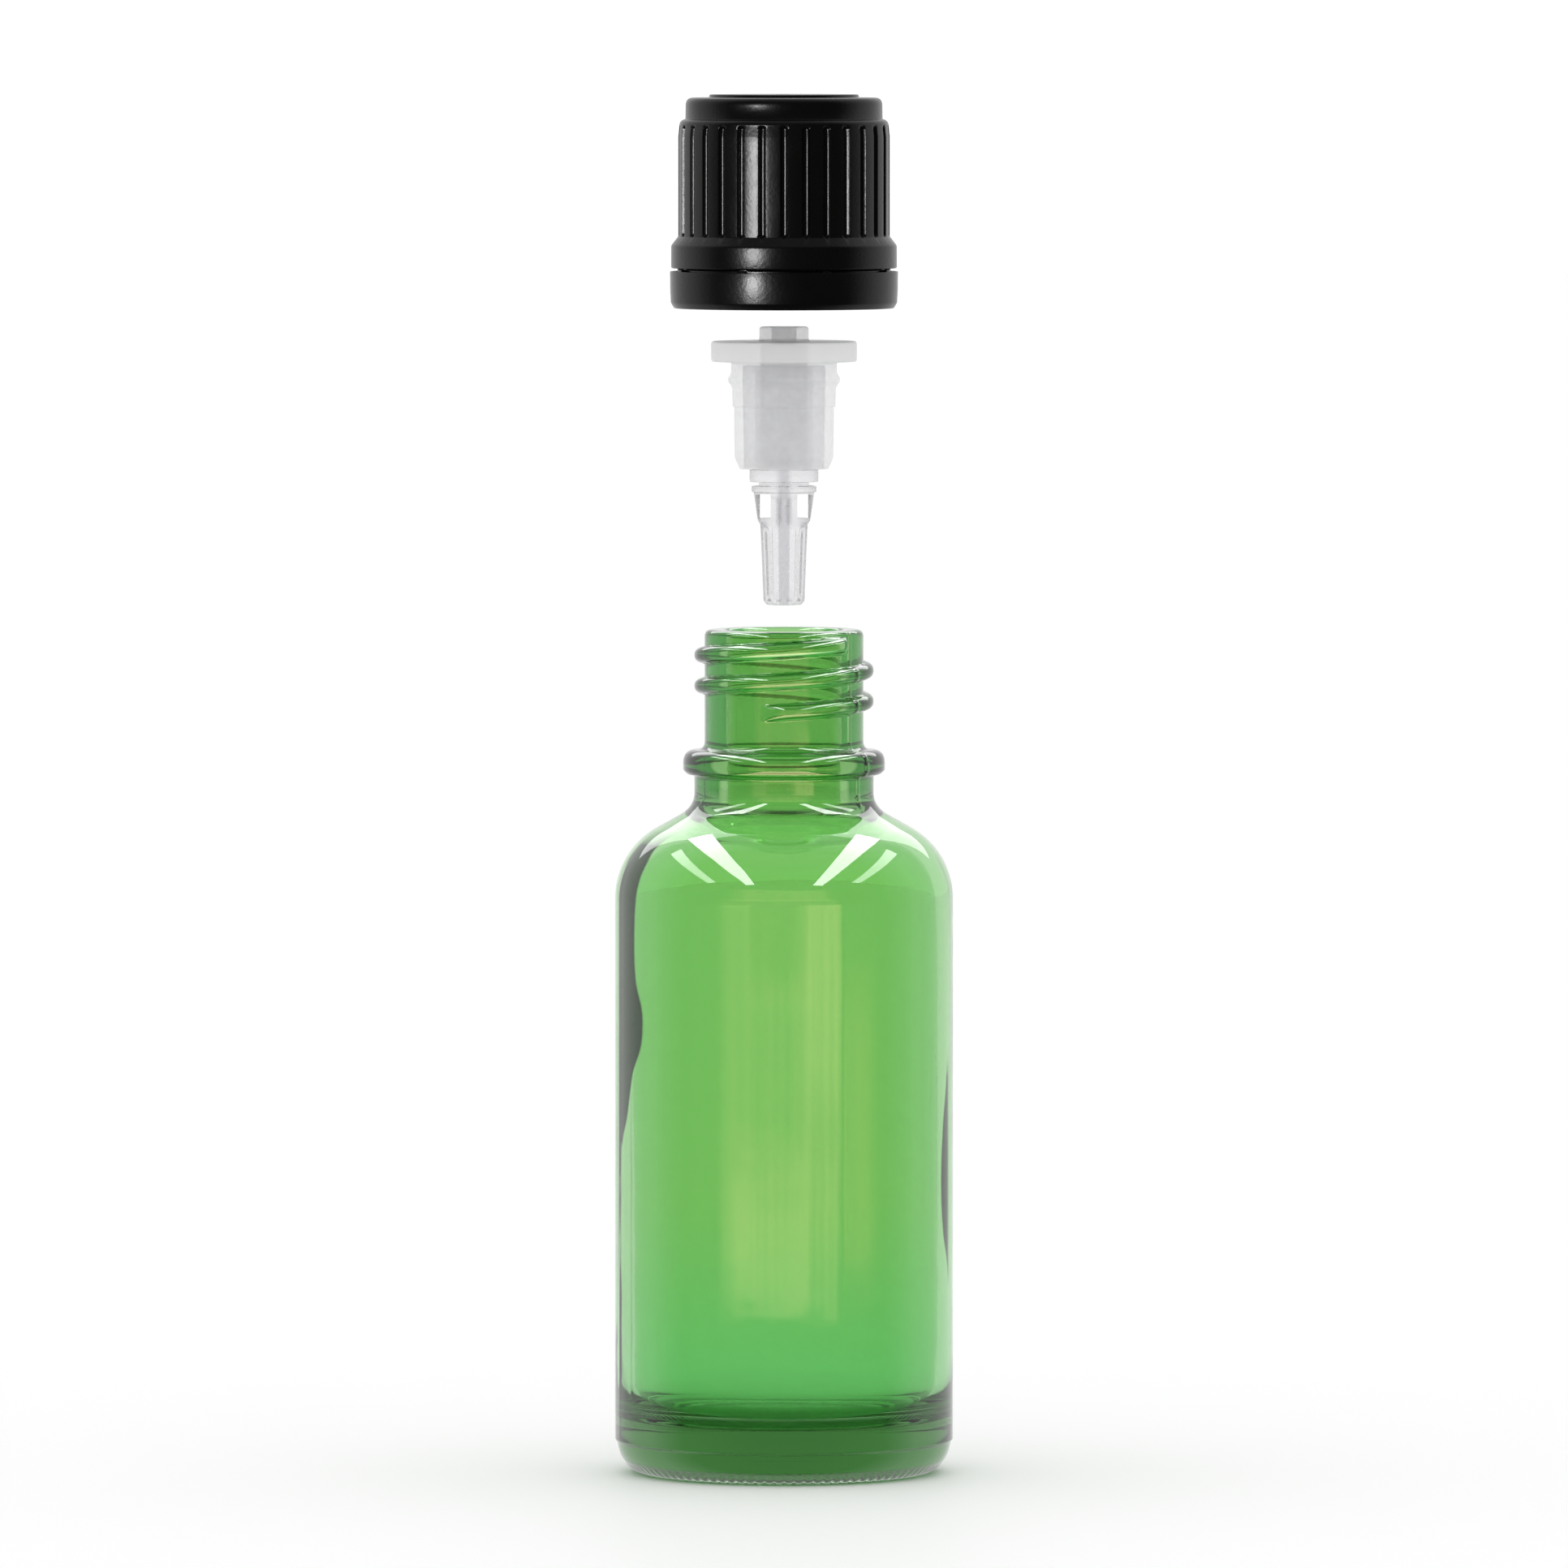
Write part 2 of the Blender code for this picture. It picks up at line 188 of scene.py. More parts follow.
# Brightness of the white surroundings
WHITE = 1.12

# Glass colours, as the base colour of one surface. A rim tint is for glass seen at a slant, and
# GLASS_DEPTH is the colour that thickness adds.
BODY_TINT = (0.475, 0.79, 0.375)
FOOT_TINT = (0.40, 0.79, 0.40)
NECK_TINT = (0.385, 0.69, 0.30)
BODY_RIM_TINT = (0.34, 0.74, 0.32)
NECK_RIM_TINT = (0.014, 0.22, 0.012)
# The band tint is painted shade: the near-black of the dark bands at the body's side edges.
PAINTED_BAND_SHADE = (0.0010, 0.0032, 0.0010)
GLASS_DEPTH = (0.66, 0.75, 0.63)

# Heights in metres between which the body's tint turns into the neck's, and into the foot's
NECK_TINT_SPAN = (0.0635, 0.0668)
FOOT_TINT_SPAN = (0.026, 0.009)

# Plastics
BLACK = (0.0022, 0.0022, 0.002)
MILK = (0.915, 0.915, 0.92)
# The greyer milk below is painted shade for the pocket between sleeve and wall.
PAINTED_POCKET_SHADE = (0.81, 0.81, 0.815)
MILK_THROUGH = (0.975, 0.975, 0.98)
CLEAR = (0.81, 0.805, 0.82)
FLOOR = (0.93, 0.93, 0.93)

# Painted dark bands, which are painted shade standing for the room's dark side seen through the
# body's side edges: the inner limit by height, from 0 to 1 up to BAND_TOP, as a slant (1 is
# edge-on), then the outer limit and the lowest and highest place. These heights are metres.
BAND_TOP = 0.064
LEFT_PAINTED_BAND = (
    (0.0, 0.9), (0.28, 0.79), (0.40, 0.735), (0.50, 0.7), (0.55, 0.615), (0.61, 0.55),
    (0.69, 0.44), (0.77, 0.515), (0.85, 0.52), (0.91, 0.50), (0.96, 0.58), (1.0, 0.7),
)
LEFT_OUTER = 0.80
LEFT_REACH = (0.017, 0.0635)
RIGHT_PAINTED_BAND = (
    (0.0, 0.8), (0.31, 0.735), (0.375, 0.65), (0.44, 0.62), (0.53, 0.645), (0.61, 0.71),
    (1.0, 0.8),
)
RIGHT_OUTER = 0.745
RIGHT_REACH = (0.018, 0.041)


# ---------------------------------------------------------------- profiles


def bend(start, corner, end, steps):
    """A rounded corner: the quadratic curve from start to end that leans on corner."""
    t = np.linspace(0, 1, steps + 1)[:, None]
    start, corner, end = (np.array(p, float) for p in (start, corner, end))
    return (1 - t) ** 2 * start + 2 * t * (1 - t) * corner + t**2 * end


def arc(center, radius, start_deg, end_deg, steps):
    """A circular stretch of a profile."""
    a = np.radians(np.linspace(start_deg, end_deg, steps + 1))
    return np.stack([center[0] + radius * np.cos(a), center[1] + radius * np.sin(a)], 1)


def line(start, end, steps):
    """A straight stretch, with more rows where relief needs them."""
    t = np.linspace(0, 1, steps + 1)[:, None]
    return np.array(start, float) * (1 - t) + np.array(end, float) * t


def rounded(points, radius, steps):
    """A polyline with every inner corner rounded to about one radius."""
    points = [np.array(p, float) for p in points]
    out = [points[0][None]]
    for before, corner, after in zip(points, points[1:], points[2:]):
        to_before, to_after = before - corner, after - corner
        reach = min(radius, np.linalg.norm(to_before) / 2.1, np.linalg.norm(to_after) / 2.1)
        start = corner + to_before / np.linalg.norm(to_before) * reach
        end = corner + to_after / np.linalg.norm(to_after) * reach
        out.append(bend(start, corner, end, steps))
    out.append(points[-1][None])
    return np.concatenate(out)


def joined(*stretches):
    """One profile from several stretches, without doubled points."""
    rows = np.concatenate(stretches)
    keep = np.ones(len(rows), bool)
    keep[1:] = np.linalg.norm(np.diff(rows, axis=0), axis=1) > 1e-4
    return rows[keep]


def cone_point(radius, arc_end):
    """The point of the shoulder's straight cone at a radius."""
    rise = (arc_end[0] - radius) / math.tan(math.radians(SHOULDER_END_DEG))
    return (radius, arc_end[1] + rise)


# ---------------------------------------------------------------- meshes


def turned_points(body, segments, lift, relief):
    """The points of a profile turned round the axis, row by row."""
    theta = np.radians(np.arange(segments) * 360.0 / segments)[None]
    r, z = body[:, :1], body[:, 1:]
    dr, dz = relief(theta, r, z) if relief else (0.0, 0.0)
    r = r + dr + 0 * theta
    z = z + dz + 0 * theta
    return np.stack([r * np.cos(theta), r * np.sin(theta), z + lift], -1).reshape(-1, 3).tolist()


def turned_faces(index, following, closed):
    """Quads between the rows of points, and from the last row to the first on a closed ring."""
    low, high = index[:-1], index[1:]
    low_next, high_next = following[:-1], following[1:]
    if closed:
        low, high = index, np.roll(index, -1, axis=0)
        low_next, high_next = following, np.roll(following, -1, axis=0)
    return np.stack([low, low_next, high_next, high], -1).reshape(-1, 4).tolist()


def turned(name, profile, segments, lift, relief=None, crease=40.0):
    """Turns a profile round the axis. relief(theta, r, z) gives changes of radius and height.
    A profile that starts and ends on the axis is capped by its poles; any other is a ring."""
    poles = [i for i in (0, len(profile) - 1) if profile[i, 0] < 1e-6]
    body = np.delete(profile, poles, axis=0)
    verts = turned_points(body, segments, lift, relief)
    index = np.arange(len(verts)).reshape(len(body), segments)
    following = np.roll(index, -1, axis=1)
    faces = turned_faces(index, following, not poles)
    for pole in poles:
        tip = len(verts)
        verts.append([0.0, 0.0, float(profile[pole, 1]) + lift])
        ends = (following[0], index[0]) if pole == 0 else (index[-1], following[-1])
        faces += [[int(a), int(b), tip] for a, b in zip(*ends)]
    mesh = bpy.data.meshes.new(name)
    mesh.from_pydata((np.array(verts) * MM).tolist(), [], faces)
    mesh.validate()
    mesh.shade_smooth()
    mesh.set_sharp_from_angle(angle=math.radians(crease))
    piece = bpy.data.objects.new(name, mesh)
    bpy.context.collection.objects.link(piece)
    return piece


def angle_gap(theta, center_deg):
    """How far theta is past an angle given in degrees, as radians between -pi and pi."""
    gap = theta - math.radians(center_deg)
    return np.arctan2(np.sin(gap), np.cos(gap))


def helix_relief(theta, z, height, half_width, span, drop):
    """Height of a rounded thread ridge above its wall, with a long lower and a blunt upper end."""
    degrees = np.degrees(theta)
    along = THREAD_DEG + (z + drop - THREAD_Z) / PITCH * 360
    turn = degrees + 360 * np.round((along - degrees) / 360)
    best = np.zeros(np.broadcast(theta, z).shape)
    for shift in (-360, 0, 360):
        on_helix = turn + shift
        center = THREAD_Z + PITCH * (on_helix - THREAD_DEG) / 360 - drop
        across = np.clip(np.abs(z - center) / half_width, 0, 1)
        bump = np.sqrt(1 - across**2.4)
        from_lower = (on_helix - span[0]) / LOWER_FADE_DEG
        from_upper = (span[1] - on_helix) / UPPER_FADE_DEG
        fade = np.sin(np.clip(np.minimum(from_lower, from_upper), 0, 1) * math.pi / 2)
        best = np.maximum(best, height * bump * fade)
    return best


def smooth_step(value, low, high):
    """0 below low, 1 above high, and a smooth rise between them."""
    t = np.clip((value - low) / (high - low), 0, 1)
    return t * t * (3 - 2 * t)


# ---------------------------------------------------------------- bottle


def body_outside():
    """From the middle of the push-up, under the base and up to the neck's foot below the bead."""
    base = bend((0, PUSH_UP), (PUSH_UP_R, PUSH_UP), (BEARING_IN_R, 0.0), 12)
    bearing = line((BEARING_IN_R, 0.0), (BEARING_OUT_R, 0.0), 5)
    heel = bend((BEARING_OUT_R, 0.0), HEEL_CORNER, (HEEL_R, BASE_JOINT_Z), 12)
    step = bend((HEEL_R, BASE_JOINT_Z), (HEEL_R + 0.04, BASE_JOINT_Z + 0.22),
                (BODY_R + 0.02, BASE_JOINT_Z + 0.4), 4)
    body = line((BODY_R + 0.02, BASE_JOINT_Z + 0.5), (BODY_R, SHOULDER_Z), 24)
    shoulder = arc((BODY_R - SHOULDER_ARC_R, SHOULDER_Z), SHOULDER_ARC_R, 0, SHOULDER_END_DEG, 24)
    corner = cone_point(NECK_BASE_R, shoulder[-1])
    start = cone_point(NECK_BASE_R + FILLET, shoulder[-1])
    neck_base_z = corner[1] + FILLET
    fillet = bend(start, corner, (NECK_BASE_R, neck_base_z), 8)
    under = rounded(
        [(NECK_BASE_R, neck_base_z + 0.2), (NECK_BASE_R, BEAD_UNDER_Z),
         (BEAD_R - 0.35, BEAD_UNDER_Z + 0.1), (BEAD_R, BEAD_UNDER_Z + 0.55)], 0.3, 5)
    return joined(base, bearing, heel, step, body, shoulder, fillet, under)


def neck_outside():
    """The bead, the neck with rows for its thread, the lip, and the mouth's rounded edge."""
    bead = bend((BEAD_R, BEAD_TOP_Z - 1.3), (BEAD_R, BEAD_TOP_Z - 0.1),
                (BEAD_R - 1.15, BEAD_TOP_Z), 12)
    foot_top = BEAD_TOP_Z + NECK_FOOT
    foot = bend((NECK_R + 0.75, BEAD_TOP_Z), (NECK_R, BEAD_TOP_Z), (NECK_R, foot_top), 8)
    neck = line((NECK_R, foot_top), (NECK_R, LIP_Z - LIP_ROUND), 110)
    lip = bend((NECK_R, LIP_Z - LIP_ROUND), (NECK_R, LIP_Z), (NECK_R - LIP_ROUND, LIP_Z), 8)
    mouth = bend((BORE_R + MOUTH_ROUND, LIP_Z), (BORE_R, LIP_Z), (BORE_R, LIP_Z - MOUTH_ROUND), 5)
    return joined(bead, foot, neck, lip, mouth)


def bottle_inside():
    """From the bore down through the throat and along the wall to the middle of the floor."""
    shoulder = arc((BODY_R - SHOULDER_ARC_R, SHOULDER_Z), SHOULDER_ARC_R - WALL,
                   SHOULDER_END_DEG, 0, 18)
    corner = cone_point(BORE_R, shoulder[0])
    throat = bend((BORE_R, corner[1] + THROAT_ROUND), corner,
                  cone_point(BORE_R + THROAT_ROUND, shoulder[0]), 12)
    bore = line((BORE_R, LIP_Z - MOUTH_ROUND), throat[0], 8)
    wall = line((INNER_R, SHOULDER_Z), (INNER_R, FLOOR_Z + FLOOR_ROUND_Z), 24)
    edge = bend((INNER_R, FLOOR_Z + FLOOR_ROUND_Z), (INNER_R, FLOOR_Z),
                (INNER_R - FLOOR_ROUND_R, FLOOR_Z), 12)
    floor = line((INNER_R - FLOOR_ROUND_R, FLOOR_Z), (0, FLOOR_Z + 0.2), 6)
    return joined(bore, throat, shoulder, wall, edge, floor)


def seam_pair(theta, r, degrees, height, width):
    """The two fine ridges that the halves of a mould leave, opposite each other."""
    near, far = angle_gap(theta, degrees), angle_gap(theta, degrees + 180)
    away = np.minimum(np.abs(near), np.abs(far)) * r
    return height * np.exp(-((away / width) ** 2))


def wall_waves(theta, z):
    """The slow waves of a blown inside wall, which die away towards the floor and the shoulder."""
    low = smooth_step(z, FLOOR_Z + 1.0, FLOOR_Z + 8.0)
    high = smooth_step(z, SHOULDER_Z - 6, SHOULDER_Z + 3)
    waves = 0.08 * np.sin(2 * theta + 0.9 + 0.02 * z) + 0.05 * np.sin(3 * theta - 0.03 * z + 2.0)
    waves = waves + 0.012 * np.sin(9 * theta + 0.05 * z) + 0.03 * np.sin(0.09 * z + theta)
    return low * (1 - high) * waves


def bottle_relief(theta, r, z):
    """Thread, mould seams, the wavy inside wall, and the knurls of the bearing ring."""
    on_thread = (np.abs(r - NECK_R) < 0.01) & (z > BEAD_TOP_Z + 0.5) & (z < LIP_Z - 0.2)
    on_body = (r > BODY_R - WALL / 2) & (z > BASE_JOINT_Z + 0.6) & (z < SHOULDER_Z + 4)
    on_neck = (r > NECK_R - 0.4) & (z > BEAD_UNDER_Z - 3)
    inside = (np.abs(r - INNER_R) < WALL / 2) & (z > FLOOR_Z + 1.0) & (z < SHOULDER_Z + 3.5)
    under = (z < 0.9) & (r > BEARING_IN_R + 0.2) & (r < HEEL_R - 0.2)
    body_seam = seam_pair(theta, r, BODY_SEAM_DEG, BODY_SEAM_HEIGHT, BODY_SEAM_WIDTH)
    neck_seam = seam_pair(theta, r, NECK_SEAM_DEG, NECK_SEAM_HEIGHT, NECK_SEAM_WIDTH)
    dr = np.where(on_thread, helix_relief(theta, z, **NECK_THREAD), 0.0)
    dr = dr + np.where(on_body, body_seam, 0.0)
    dr = dr + np.where(on_neck, neck_seam, 0.0)
    dr = dr + np.where(inside, wall_waves(theta, z), 0.0)
    dz = np.where(under, KNURL_DEPTH * (0.5 + 0.5 * np.cos(KNURLS * theta)), 0.0)
    return dr, dz


# ---------------------------------------------------------------- insert


def plug_profile():
    """Outside from the bottom to the spout, down through the spout and the sleeve, and back
    through the pocket between sleeve and wall."""
    outside = [
        (PLUG_FOOT_R, PLUG_BOTTOM), (PLUG_R, PLUG_BOTTOM + 1.1), (PLUG_R + 0.06, PLUG_STEP_Z),
        (5.0, PLUG_STEP_Z + 0.05), (5.05, PLUG_BEAD_Z - 0.7),
        (PLUG_BEAD_R, PLUG_BEAD_Z - 0.15), (PLUG_BEAD_R, PLUG_BEAD_Z + 0.15),
        (PLUG_TOP_R, PLUG_BEAD_Z + 0.6), (PLUG_TOP_R, FLANGE_Z), (FLANGE_R, FLANGE_Z),
        (FLANGE_R, FLANGE_TOP), (SPOUT_R + 0.15, FLANGE_TOP), (SPOUT_R, FLANGE_TOP + 0.25),
        (SPOUT_R, SPOUT_TOP),
    ]
    sleeve = [
        (SPOUT_BORE_R, SPOUT_TOP), (SPOUT_BORE_R, SPOUT_FLOOR), (SLEEVE_IN_R, SPOUT_FLOOR),
        (SLEEVE_IN_R, PLUG_BOTTOM + 0.1), (SLEEVE_OUT_R, PLUG_BOTTOM + 0.1),
        (SLEEVE_OUT_R, PLUG_ROOF),
    ]
    pocket = [
        (4.05, PLUG_ROOF), (PLUG_INNER_R, PLUG_BOTTOM + 1.3), (PLUG_INNER_R, PLUG_BOTTOM),
        (PLUG_FOOT_R, PLUG_BOTTOM),
    ]
    return joined(rounded(outside + sleeve + pocket, 0.3, 4))[:-1]


def tube_profile():
    """The ribbed tip, the windowed part, two collars with a notch between them, and the stem."""
    tip = [(DRIP_CHANNEL_R, TIP_Z), (1.7, TIP_Z), (TIP_R, TIP_Z + 0.4)]
    ribs = line((TIP_R, TIP_Z + 0.4), (2.3, WINDOW_BOTTOM - 0.35), 20)
    upper = [
        (2.55, WINDOW_BOTTOM), (2.95, WINDOW_TOP), (LOWER_COLLAR_R, WINDOW_TOP),
        (LOWER_COLLAR_R, WINDOW_TOP + 0.6), (TUBE_NECK_R, WINDOW_TOP + 0.62),
        (TUBE_NECK_R, WINDOW_TOP + 0.98), (TUBE_COLLAR_R, WINDOW_TOP + 1.0),
        (TUBE_COLLAR_R, TUBE_COLLAR_TOP), (STEM_R, TUBE_COLLAR_TOP), (STEM_R, STEM_TOP),
        (DRIP_CHANNEL_R, STEM_TOP),
    ]
    return joined(rounded(tip, 0.15, 2), ribs, rounded(upper, 0.12, 2))


def tube_relief(theta, r, z):
    """Vertical ribs below the windows, deepest in the middle of the tube."""
    low = smooth_step(z, TIP_Z + 0.3, TIP_Z + 1.2)
    high = smooth_step(z, WINDOW_BOTTOM - 1.0, WINDOW_BOTTOM - 0.4)
    groove = RIB_DEPTH * low * (1 - high) * (0.5 - 0.5 * np.cos(RIBS * theta))
    outside = (r > TIP_R - 0.2) & (z < WINDOW_BOTTOM)
    return np.where(outside, -groove, 0.0), 0.0


def window_cutter(side, lift):
    """A block for one window, from front to back through the tube."""
    across = sorted(side * x for x in WINDOW_SPAN)
    heights = (WINDOW_BOTTOM + 0.25 + lift, WINDOW_TOP - 0.15 + lift)
    verts = [(x * MM, y * MM, z * MM) for x in across for y in (-4, 4) for z in heights]
    quads = [(0, 1, 3, 2), (4, 6, 7, 5), (0, 4, 5, 1), (2, 3, 7, 6), (0, 2, 6, 4), (1, 5, 7, 3)]
    mesh = bpy.data.meshes.new("window")
    mesh.from_pydata(verts, [], quads)
    cutter = bpy.data.objects.new("window", mesh)
    bpy.context.collection.objects.link(cutter)
    return cutter


def cut_windows(tube, lift):
    """Two openings beside the middle column, cut right through from front to back."""
    for side in (-1, 1):
        cutter = window_cutter(side, lift)
        cut = tube.modifiers.new("window", "BOOLEAN")
        cut.operation = "DIFFERENCE"
        cut.solver = "EXACT"
        cut.object = cutter
        bpy.context.view_layer.update()
        evaluated = tube.evaluated_get(bpy.context.evaluated_depsgraph_get())
        made = bpy.data.meshes.new_from_object(evaluated)
        tube.modifiers.clear()
        tube.data = made
        bpy.data.objects.remove(cutter)
    tube.data.set_sharp_from_angle(angle=math.radians(40))


# ---------------------------------------------------------------- closure


def ring_profile():
    """Outside up to the flat crown, the low lip inside its edge, the catch, and the bottom."""
    outside = [(RING_R - 0.02, RING_MIDDLE_Z), (RING_R, RING_TOP), (RING_R - 0.12, RING_TOP)]
    crown = line((RING_R - 0.12, RING_TOP), (RING_BORE_R + 0.3, RING_TOP), 12)
    inner = [
        (RING_BORE_R + 0.25, RING_TOP), (RING_BORE_R + 0.25, RING_TOP + RING_LIP),
        (RING_BORE_R, RING_TOP + RING_LIP), (RING_BORE_R, CATCH_TOP), (CATCH_R, CATCH_Z),
        (CATCH_R, CATCH_Z - 0.3), (RING_FOOT_IN_R, RING_BOTTOM), (RING_FOOT_OUT_R, RING_BOTTOM),
        (RING_R - 0.08, RING_BOTTOM + 0.55), (RING_R - 0.02, RING_MIDDLE_Z),
    ]
    return joined(rounded(outside, 0.12, 3)[:-1], crown, rounded(inner, 0.1, 3)[:-1])


def ring_relief(theta, r, z):
    """The short bridges that stand on the ring's upper edge."""
    step = 360.0 / BRIDGES
    from_bridge = np.degrees(theta) % step - step / 2
    across = np.abs(np.radians(from_bridge)) * r
    on_crown = (z > RING_TOP - 0.01) & (np.abs(r - (RING_R + RING_BORE_R) / 2) < 0.32)
    return 0.0, np.where(on_crown, BRIDGE_HEIGHT * (1 - smooth_step(across, 0.3, 0.5)), 0.0)


def cap_inside():
    """The pin over the spout, the seal rib, the threaded wall, and the wider mouth."""
    roof = rounded(
        [(PIN_R - 0.2, ROOF_Z - PIN_LENGTH), (PIN_R, ROOF_Z - PIN_LENGTH + 0.1), (PIN_R, ROOF_Z),
         (SEAL_R - 0.4, ROOF_Z), (SEAL_R - 0.3, ROOF_Z - 1.4), (SEAL_R + 0.3, ROOF_Z - 1.4),
         (SEAL_R + 0.4, ROOF_Z), (CAP_BORE_R, ROOF_Z), (CAP_BORE_R, THREADED_TOP)], 0.3, 3)
    threaded = line((CAP_BORE_R, THREADED_TOP), (CAP_BORE_R, THREADED_BOTTOM), 40)
    mouth = rounded(
        [(CAP_BORE_R, THREADED_BOTTOM), (RING_BORE_R, CAP_MOUTH_Z), (RING_BORE_R, CAP_BOTTOM),
         (BAND_R, CAP_BOTTOM), (BAND_R, SKIRT_BOTTOM - 0.9), (SKIRT_R, SKIRT_BOTTOM),
         (SKIRT_R, SKIRT_BOTTOM + 0.1)], 0.15, 3)
    return joined([[0.0, ROOF_Z - PIN_LENGTH]], roof, threaded, mouth)


def cap_outside():
    """The skirt with rows for its grooves, the smooth collar, the raised disc and its dimple."""
    skirt = line((SKIRT_R, SKIRT_BOTTOM + 0.1), (SKIRT_R, SKIRT_BOTTOM + 0.5), 5)
    lands = line((SKIRT_R, SKIRT_BOTTOM + 0.6), (SKIRT_R, SKIRT_TOP - 1.6), 8)
    crown = line((SKIRT_R, SKIRT_TOP - 1.6), (SKIRT_R - 0.12, SKIRT_TOP - 0.45), 9)
    ledge = bend((SKIRT_R - 0.12, SKIRT_TOP - 0.4), (SKIRT_R - 0.2, SKIRT_TOP),
                 (TOP_COLLAR_R + 0.05, SKIRT_TOP + 0.1), 5)
    collar = rounded([(TOP_COLLAR_R, SKIRT_TOP + 0.15), (TOP_COLLAR_R - 0.03, CAP_TOP),
                      (DISC_R + 0.02, CAP_TOP)], 0.75, 8)
    disc = rounded([(DISC_R, CAP_TOP + 0.02), (DISC_R - 0.04, DISC_TOP), (1.0, DISC_TOP)], 0.12, 3)
    dimple = bend((0.9, DISC_TOP), (0.8, DISC_TOP - DIMPLE_DEPTH), (0.35, DISC_TOP - DIMPLE_DEPTH), 4)
    middle = [[0.0, DISC_TOP - 0.16]]
    return joined(skirt, lands, crown, ledge, collar, disc, dimple, middle)


def cap_relief(theta, r, z):
    """Grooves with arched tops round the skirt, and the thread on the inside wall."""
    step = 2 * math.pi / GROOVES
    from_groove = (theta - math.radians(FIRST_GROOVE_DEG) + step / 2) % step - step / 2
    across = np.abs(from_groove) * SKIRT_R
    beyond = np.maximum(z - (SKIRT_TOP - 0.85), 0) + np.maximum(SKIRT_BOTTOM + 0.35 - z, 0)
    away = np.hypot(across, beyond)
    depth = GROOVE_DEPTH * (1 - smooth_step(away, GROOVE_HALF * 0.45, GROOVE_HALF))
    on_skirt = (r > TOP_COLLAR_R + 0.1) & (z > SKIRT_BOTTOM - 0.5) & (z < SKIRT_TOP + 0.05)
    dr = np.where(on_skirt, -depth, 0.0)
    on_wall = (np.abs(r - CAP_BORE_R) < 0.01) & (z < THREADED_TOP + 0.1)
    dr = dr - np.where(on_wall, helix_relief(theta, z, **CAP_THREAD), 0.0)
    return dr, 0.0


# ---------------------------------------------------------------- materials


class Look:
    """A material's node tree, or the world's, with short calls to add and link nodes."""

    def __init__(self, name, tree=None, output="ShaderNodeOutputMaterial"):
        if tree is None:
            self.material = bpy.data.materials.new(name)
            self.material.use_nodes = True
            tree = self.material.node_tree
        self.nodes = tree.nodes
        self.links = tree.links
        self.nodes.clear()
        self.output = self.nodes.new(output)

    def node(self, kind, **inputs):
        """A new shader node, whose inputs are named with _ for a space."""
        made = self.nodes.new("ShaderNode" + kind)
        for key, value in inputs.items():
            made.inputs[key.replace("_", " ")].default_value = value
        return made

    def link(self, source, target):
        """Joins an output to an input."""
        self.links.new(source, target)

    def noise(self, scale, detail, roughness=0.5):
        """A cloudy pattern that is fixed to the piece."""
        where = self.node("TexCoord")
        made = self.node("TexNoise", Scale=scale, Detail=detail, Roughness=roughness)
        self.link(where.outputs["Object"], made.inputs["Vector"])
        return made

    def fit(self, value, start, end, to_start=0.0, to_end=1.0, kind="LINEAR"):
        """Maps the span from start to end onto the one from to_start to to_end, and clamps it."""
        made = self.node("MapRange", From_Min=start, From_Max=end, To_Min=to_start, To_Max=to_end)
        made.interpolation_type = kind
        self.link(value, made.inputs["Value"])
        return made.outputs["Result"]

    def math(self, operation, first, second):
        """One sum on two values, either of which may be a plain number."""
        made = self.node("Math")
        made.operation = operation
        for socket, value in zip(made.inputs, (first, second)):
            if isinstance(value, (int, float)):
                socket.default_value = value
            else:
                self.link(value, socket)
        return made.outputs["Value"]

    def mix(self, share, first, second):
        """Blends two colours, each either an RGB triple or another colour's output."""
        made = self.node("Mix")
        made.data_type = "RGBA"
        self.link(share, made.inputs["Factor"])
        for socket, value in ((made.inputs[6], first), (made.inputs[7], second)):
            if isinstance(value, tuple):
                socket.default_value = (*value, 1)
            else:
                self.link(value, socket)
        return made.outputs[2]

    def blend(self, share, first, second):
        """Blends two shaders, by a plain number or another node's value."""
        made = self.node("MixShader")
        if isinstance(share, float):
            made.inputs["Fac"].default_value = share
        else:
            self.link(share, made.inputs["Fac"])
        self.link(first.outputs[0], made.inputs[1])
        self.link(second.outputs[0], made.inputs[2])
        return made

    def curve(self, value, points):
        """A smooth curve through a few points, each with both values between 0 and 1."""
        made = self.node("FloatCurve")
        knots = made.mapping.curves[0].points
        knots[0].location = points[0]
        knots[1].location = points[-1]
        for point in points[1:-1]:
            knots.new(*point)
        made.mapping.update()
        self.link(value, made.inputs["Value"])
        return made.outputs["Value"]

    def position(self):
        """The x, y and z of a point on the piece."""
        where = self.node("TexCoord")
        split = self.node("SeparateXYZ")
        self.link(where.outputs["Object"], split.inputs["Vector"])
        return [split.outputs[axis] for axis in "XYZ"]

    def bump(self, height, strength, distance):
        """The normal of a surface with a fine relief."""
        made = self.node("Bump", Strength=strength, Distance=distance)
        self.link(height, made.inputs["Height"])
        return made.outputs["Normal"]


def painted_edge_shade(look, slant, height, side, inner, outer, reach):
    """Where the painted dark band at one side edge of the body shows; it is painted shade, not
    refraction. inner gives its inner limit by height, as a slant, and outer is its outer limit. It
    fades out beyond reach, in metres."""
    limit = look.curve(look.math("DIVIDE", height, BAND_TOP), inner)
    inside = look.fit(look.math("SUBTRACT", slant, limit), 0.0, 0.018)
    outside = look.fit(slant, outer, outer + 0.05, 1.0, 0.0)
    on_side = look.fit(side, 0.3 * BODY_R * MM, 0.4 * BODY_R * MM)
    low = look.fit(height, reach[0], reach[0] + 0.002)
    high = look.fit(height, reach[1] - 0.002, reach[1], 1.0, 0.0)
    share = look.math("MULTIPLY", inside, outside)
    share = look.math("MULTIPLY", share, on_side)
    return look.math("MULTIPLY", look.math("MULTIPLY", share, low), high)


